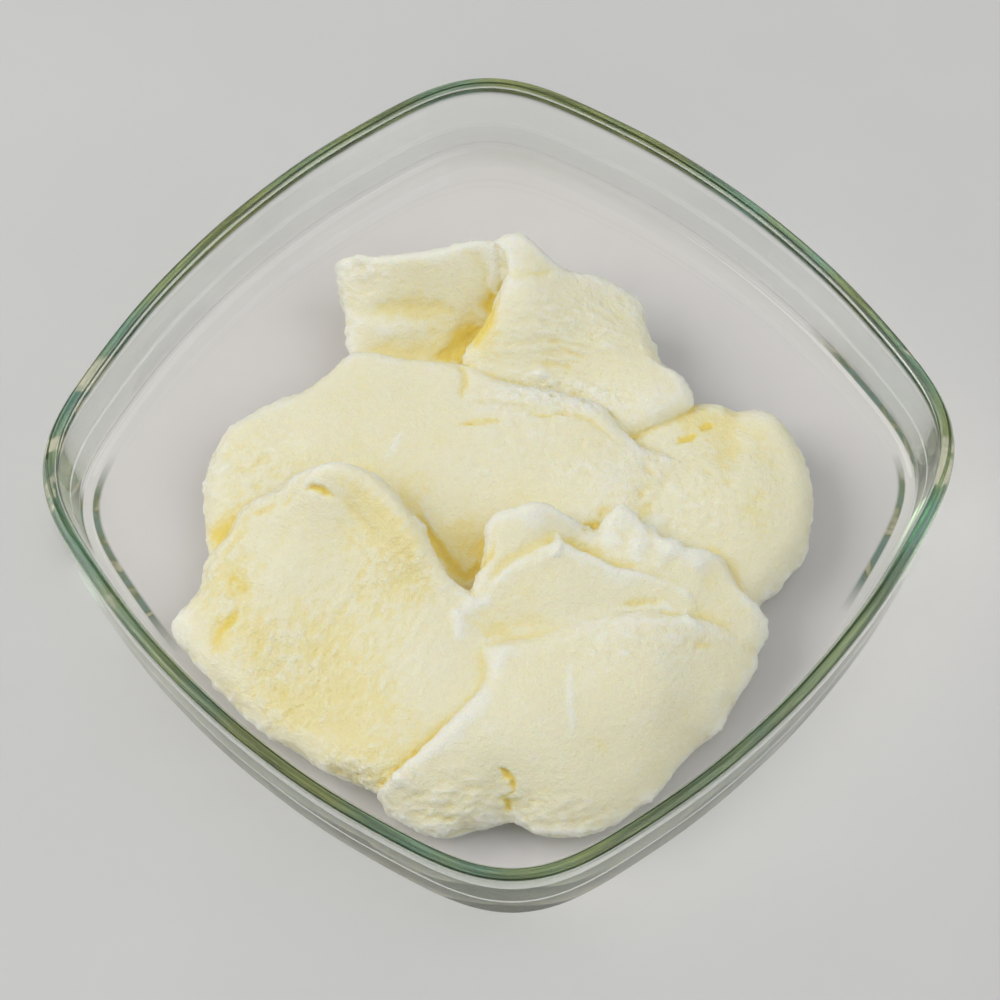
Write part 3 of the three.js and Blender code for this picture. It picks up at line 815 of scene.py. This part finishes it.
def noise_at(tree, place, size, detail, distortion=0.0):
    """Noise with features of a size in millimetres."""
    node = tree.nodes.new("ShaderNodeTexNoise")
    node.inputs["Scale"].default_value = 1 / (size * MM)
    node.inputs["Detail"].default_value = detail
    node.inputs["Distortion"].default_value = distortion
    tree.links.new(place, node.inputs["Vector"])
    return node.outputs["Fac"]


def ramp_over(tree, value, stops, interpolation="LINEAR"):
    """A colour ramp with stops given as (position, colour)."""
    node = tree.nodes.new("ShaderNodeValToRGB")
    node.color_ramp.interpolation = interpolation
    elements = node.color_ramp.elements
    for i, (position, colour) in enumerate(stops):
        stop = elements[i] if i < 2 else elements.new(position)
        stop.position, stop.color = position, (*colour, 1)
    tree.links.new(value, node.inputs["Fac"])
    return node.outputs["Color"]


def feed(tree, socket, value):
    """Links a socket to another, or sets its value."""
    if isinstance(value, bpy.types.NodeSocket):
        tree.links.new(value, socket)
    else:
        socket.default_value = value


def combine(tree, kind, *values):
    node = tree.nodes.new("ShaderNodeMath")
    node.operation = kind
    for socket, value in zip(node.inputs, values):
        feed(tree, socket, value)
    return node.outputs[0]


def mixed(tree, kind, factor, first, second):
    node = tree.nodes.new("ShaderNodeMix")
    node.data_type = "RGBA"
    node.blend_type = kind
    for i, value in ((0, factor), (6, first), (7, second)):  # the factor, A and B of a colour mix
        feed(tree, node.inputs[i], value)
    return node.outputs[2]


def rim_painted_light(tree, place, across, corner):
    """The rim's tint and painted light: the glass's green deepened in patches, painted cream light
    in patches, with painted light and shade lines along it.
    """
    nodes, links = tree.nodes, tree.links
    green = ramp_over(tree, noise_at(tree, place, GREEN_PATCH, 2), RIM_GREENS)
    spot = nodes.new("ShaderNodeSeparateXYZ")
    links.new(place, spot.inputs[0])
    drawn = nodes.new("ShaderNodeCombineXYZ")
    scales = (1 / (LINE_PATCH * MM), 1 / (LINE_PATCH * MM), LINES_ACROSS)
    for i, value in enumerate((spot.outputs[0], spot.outputs[1], across)):
        links.new(combine(tree, "MULTIPLY", value, scales[i]), drawn.inputs[i])
    shade = nodes.new("ShaderNodeTexNoise")
    shade.inputs["Scale"].default_value = 1.0
    links.new(drawn.outputs[0], shade.inputs["Vector"])
    # painted light and shade in thin lines along the rim
    shades = ramp_over(tree, shade.outputs["Fac"], RIM_PAINTED_LIGHT_LINES)
    green = mixed(tree, "MULTIPLY", 1.0, green, shades)
    # painted cream light in patches near the left and right corners
    pale = ramp_over(tree, noise_at(tree, place, CREAM_PATCH, 3, 0.6), PAINTED_CREAM_PATCHES)
    pale = mixed(tree, "MULTIPLY", 1.0, pale, ramp_over(tree, corner, PAINTED_CREAM_CORNERS))
    green = mixed(tree, "MIX", pale, green, RIM_PAINTED_CREAM)
    # a painted shade line, then painted highlight lines, by the place across the rim
    stripes = mixed(tree, "MULTIPLY", 1.0, green, ramp_over(tree, across, RIM_PAINTED_SHADE_LINE))
    return mixed(tree, "MIX", ramp_over(tree, across, RIM_PAINTED_HIGHLIGHT_LINES), stripes, (1, 1, 1, 1))


def glass_material():
    """Clear glass with tints painted where its light has run far, painted light and shade on its
    rim, and green over long ways.
    """
    material, tree, output = new_material("green_edged_glass")
    nodes, links = tree.nodes, tree.links
    glass = nodes.new("ShaderNodeBsdfPrincipled")
    glass.inputs["Roughness"].default_value = 0.0
    glass.inputs["IOR"].default_value = 1.5
    glass.inputs["Transmission Weight"].default_value = 1.0
    place = object_place(tree)
    across, rim, corner, streak = mark_colour(tree, "section")
    spot = nodes.new("ShaderNodeSeparateXYZ")
    links.new(place, spot.inputs[0])
    height = nodes.new("ShaderNodeMapRange")
    height.inputs["From Max"].default_value = HEIGHT * MM
    links.new(spot.outputs["Z"], height.inputs["Value"])
    tint_end, clear_start = FLOOR_TINT_HEIGHTS
    body = ramp_over(tree, height.outputs[0], ((tint_end, FLOOR_TINT), (clear_start, (1, 1, 1))))
    # the rim takes its painted light: the deepened green, painted cream, and painted shade and
    # highlight lines
    colour = mixed(tree, "MIX", rim, body, rim_painted_light(tree, place, across, corner))
    dark = ramp_over(tree, noise_at(tree, place, STREAK_PATCH, 1, 1.0), STREAK_GREENS)
    links.new(mixed(tree, "MIX", streak, colour, dark), glass.inputs["Base Color"])
    # light reaches what lies in and under the glass as if it were nearly clear
    clear = nodes.new("ShaderNodeBsdfTransparent")
    clear.inputs["Color"].default_value = SHADOW_TINT
    path = nodes.new("ShaderNodeLightPath")
    mix = nodes.new("ShaderNodeMixShader")
    links.new(path.outputs["Is Shadow Ray"], mix.inputs["Fac"])
    links.new(glass.outputs[0], mix.inputs[1])
    links.new(clear.outputs[0], mix.inputs[2])
    links.new(mix.outputs[0], output.inputs["Surface"])
    tint = nodes.new("ShaderNodeVolumeAbsorption")
    tint.inputs["Color"].default_value = GLASS_GREEN
    tint.inputs["Density"].default_value = GLASS_DENSITY
    links.new(tint.outputs[0], output.inputs["Volume"])
    return material


def yogurt_material():
    """Cream white, with painted warm bounce light in its hollows and painted highlights on its
    crests, finely grained and moist.
    """
    material, tree, output = new_material("strained_yogurt")
    nodes, links = tree.nodes, tree.links
    body = nodes.new("ShaderNodeBsdfPrincipled")
    body.inputs["IOR"].default_value = 1.38
    body.inputs["Subsurface Weight"].default_value = 0.65
    body.inputs["Subsurface Radius"].default_value = (1.0, 0.8, 0.45)
    body.inputs["Subsurface Scale"].default_value = 0.002
    body.inputs["Coat Roughness"].default_value = 0.12
    body.inputs["Coat IOR"].default_value = 1.35
    place = object_place(tree)
    painted_light_and_tone, wet, hollow, _ = mark_colour(tree, "skin")

    def noise(size, detail):
        return noise_at(tree, place, size, detail)

    def plus(value, factor, other):
        """A value times a factor, plus another."""
        return combine(tree, "MULTIPLY_ADD", value, factor, other)

    # the yogurt's tone, with painted light added: warm bounce light in hollows and creases,
    # highlights on ridges and knobs
    tone = combine(tree, "ADD", painted_light_and_tone, plus(hollow, PAINTED_HOLLOW_LIGHT, -PAINTED_HOLLOW_LIGHT / 2))
    for size, amount in MOTTLE:
        tone = combine(tree, "ADD", tone, plus(noise(size, 2), amount, -amount / 2))
    links.new(ramp_over(tree, tone, YOGURT_TONES, "EASE"), body.inputs["Base Color"])
    rough = plus(noise(2.5, 2), 0.2, 0.36)
    links.new(plus(wet, -0.12, rough), body.inputs["Roughness"])
    links.new(plus(wet, 0.6, 0.25), body.inputs["Coat Weight"])
    grain = plus(noise(0.4, 3), 0.7, noise(1.1, 3))
    grain = plus(combine(tree, "MULTIPLY", noise(0.7, 2), wet), 1.2, grain)
    bump = nodes.new("ShaderNodeBump")
    bump.inputs["Strength"].default_value = 0.8
    bump.inputs["Distance"].default_value = 0.0004
    links.new(grain, bump.inputs["Height"])
    links.new(bump.outputs[0], body.inputs["Normal"])
    links.new(bump.outputs[0], body.inputs["Coat Normal"])
    links.new(body.outputs[0], output.inputs["Surface"])
    return material


def floor_material():
    """Pale grey with a faint mottle."""
    material, tree, output = new_material("pale_floor")
    surface = tree.nodes.new("ShaderNodeBsdfPrincipled")
    surface.inputs["Roughness"].default_value = 0.6
    mottle = noise_at(tree, object_place(tree), FLOOR_MOTTLE, 4)
    tree.links.new(ramp_over(tree, mottle, FLOOR_GREYS), surface.inputs["Base Color"])
    tree.links.new(surface.outputs[0], output.inputs["Surface"])
    return material


# ---- camera, light and floor --------------------------------------------------------------------

# The camera that fits the photograph: its distance and look-at point in rim radii, its angles in
# degrees, and its focal length in widths of the picture.
CAMERA_AZIMUTH = 43.34
CAMERA_ELEVATION = 62.4
CAMERA_ROLL = 0.58
CAMERA_DISTANCE = 7.0
LOOK_AT = (0.001, -0.129)
FOCAL_WIDTHS = 2.9155
PICTURE = 1000  # the picture's width and height in pixels
SENSOR = 36.0

# The studio's light: colours of the sky by the sine of their height, and lamps with their place in
# metres across, away from the camera and up, their size in metres, power in watts and colour.
SKY_STRENGTH = 0.565
SKY = (
    (0.0, (0.55, 0.57, 0.55)), (0.25, (0.78, 0.8, 0.79)), (0.6, (0.93, 0.95, 0.97)),
    (1.0, (1.0, 1.0, 1.0)),
)
LAMPS = {
    "key": ((-1.15, 0.2, 1.0), 1.1, 10.2, (1.0, 0.98, 0.94)),
    "fill": ((0.9, -0.2, 1.2), 1.2, 5, (0.96, 0.98, 1.0)),
}
STUDIO_SIZE = 3.0  # half the studio floor's width, in metres
LIGHT_BOUNCES = 48  # light runs far inside the dish's walls


def camera_ground():
    """Across the camera's view, and away from the camera, along the ground."""
    azimuth = math.radians(CAMERA_AZIMUTH)
    across = Vector((math.cos(azimuth), math.sin(azimuth), 0))
    away = Vector((-math.sin(azimuth), math.cos(azimuth), 0))
    return across, away


def make_camera():
    """The photograph's camera."""
    elevation, roll = math.radians(CAMERA_ELEVATION), math.radians(CAMERA_ROLL)
    across, away = camera_ground()
    up_axis = Vector((0, 0, 1))
    target = (across * LOOK_AT[0] + away * LOOK_AT[1]) * RIM_RADIUS * MM + up_axis * WALL_TOP * MM
    back = up_axis * math.sin(elevation) - away * math.cos(elevation)
    over = up_axis * math.cos(elevation) + away * math.sin(elevation)
    right = across * math.cos(roll) - over * math.sin(roll)
    up = across * math.sin(roll) + over * math.cos(roll)
    data = bpy.data.cameras.new("camera")
    data.sensor_width = SENSOR
    data.lens = FOCAL_WIDTHS * SENSOR
    camera = bpy.data.objects.new("camera", data)
    turn = Matrix((right, up, back)).transposed().to_4x4()
    eye = target + back * CAMERA_DISTANCE * RIM_RADIUS * MM
    camera.matrix_world = Matrix.Translation(eye) @ turn
    bpy.context.scene.collection.objects.link(camera)
    bpy.context.scene.camera = camera
    bpy.context.view_layer.update()
    return camera


def area_light(name, place, size, power, colour):
    """A square lamp that faces the origin."""
    data = bpy.data.lights.new(name, "AREA")
    data.size = size
    data.energy = power
    data.color = colour
    lamp = bpy.data.objects.new(name, data)
    lamp.location = place
    lamp.rotation_euler = (-Vector(place)).to_track_quat("-Z", "Y").to_euler()
    bpy.context.scene.collection.objects.link(lamp)


def make_sky():
    """Soft light from all round, brightest overhead and dim near the floor."""
    world = bpy.data.worlds.new("studio")
    world.use_nodes = True
    nodes, links = world.node_tree.nodes, world.node_tree.links
    place = nodes.new("ShaderNodeTexCoord")
    split = nodes.new("ShaderNodeSeparateXYZ")
    links.new(place.outputs["Generated"], split.inputs[0])
    background = nodes["Background"]
    colour = ramp_over(world.node_tree, split.outputs["Z"], SKY)
    links.new(colour, background.inputs["Color"])
    background.inputs["Strength"].default_value = SKY_STRENGTH
    return world


def make_studio():
    """The sky, the lamps, the floor and how far light is followed."""
    scene = bpy.context.scene
    scene.world = make_sky()
    across, away = camera_ground()
    for name, ((right, back, up), size, power, colour) in LAMPS.items():
        area_light(name, across * right + away * back + Vector((0, 0, up)), size, power, colour)
    size, below = STUDIO_SIZE, -FLOOR_GAP * MM
    signs = ((-1, -1), (1, -1), (1, 1), (-1, 1))
    corners = [(x * size, y * size, below) for x, y in signs]
    mesh = bpy.data.meshes.new("floor")
    mesh.from_pydata(corners, [], [(0, 1, 2, 3)])
    floor = bpy.data.objects.new("floor", mesh)
    floor.data.materials.append(floor_material())
    scene.collection.objects.link(floor)
    scene.view_settings.view_transform = "Standard"
    scene.cycles.max_bounces = LIGHT_BOUNCES
    scene.cycles.transmission_bounces = LIGHT_BOUNCES
    scene.cycles.glossy_bounces = LIGHT_BOUNCES
    scene.cycles.transparent_max_bounces = 16
    scene.cycles.diffuse_bounces = 6


# ---- the scene ----------------------------------------------------------------------------------

camera = make_camera()
make_studio()

dish = make_dish()
dish.data.materials.append(glass_material())
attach(dish, "root")
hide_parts("glass_bowl")

heap = make_heap()
heap.data.materials.append(yogurt_material())
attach(heap, "root")
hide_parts("yogurt")

bpy.context.view_layer.update()
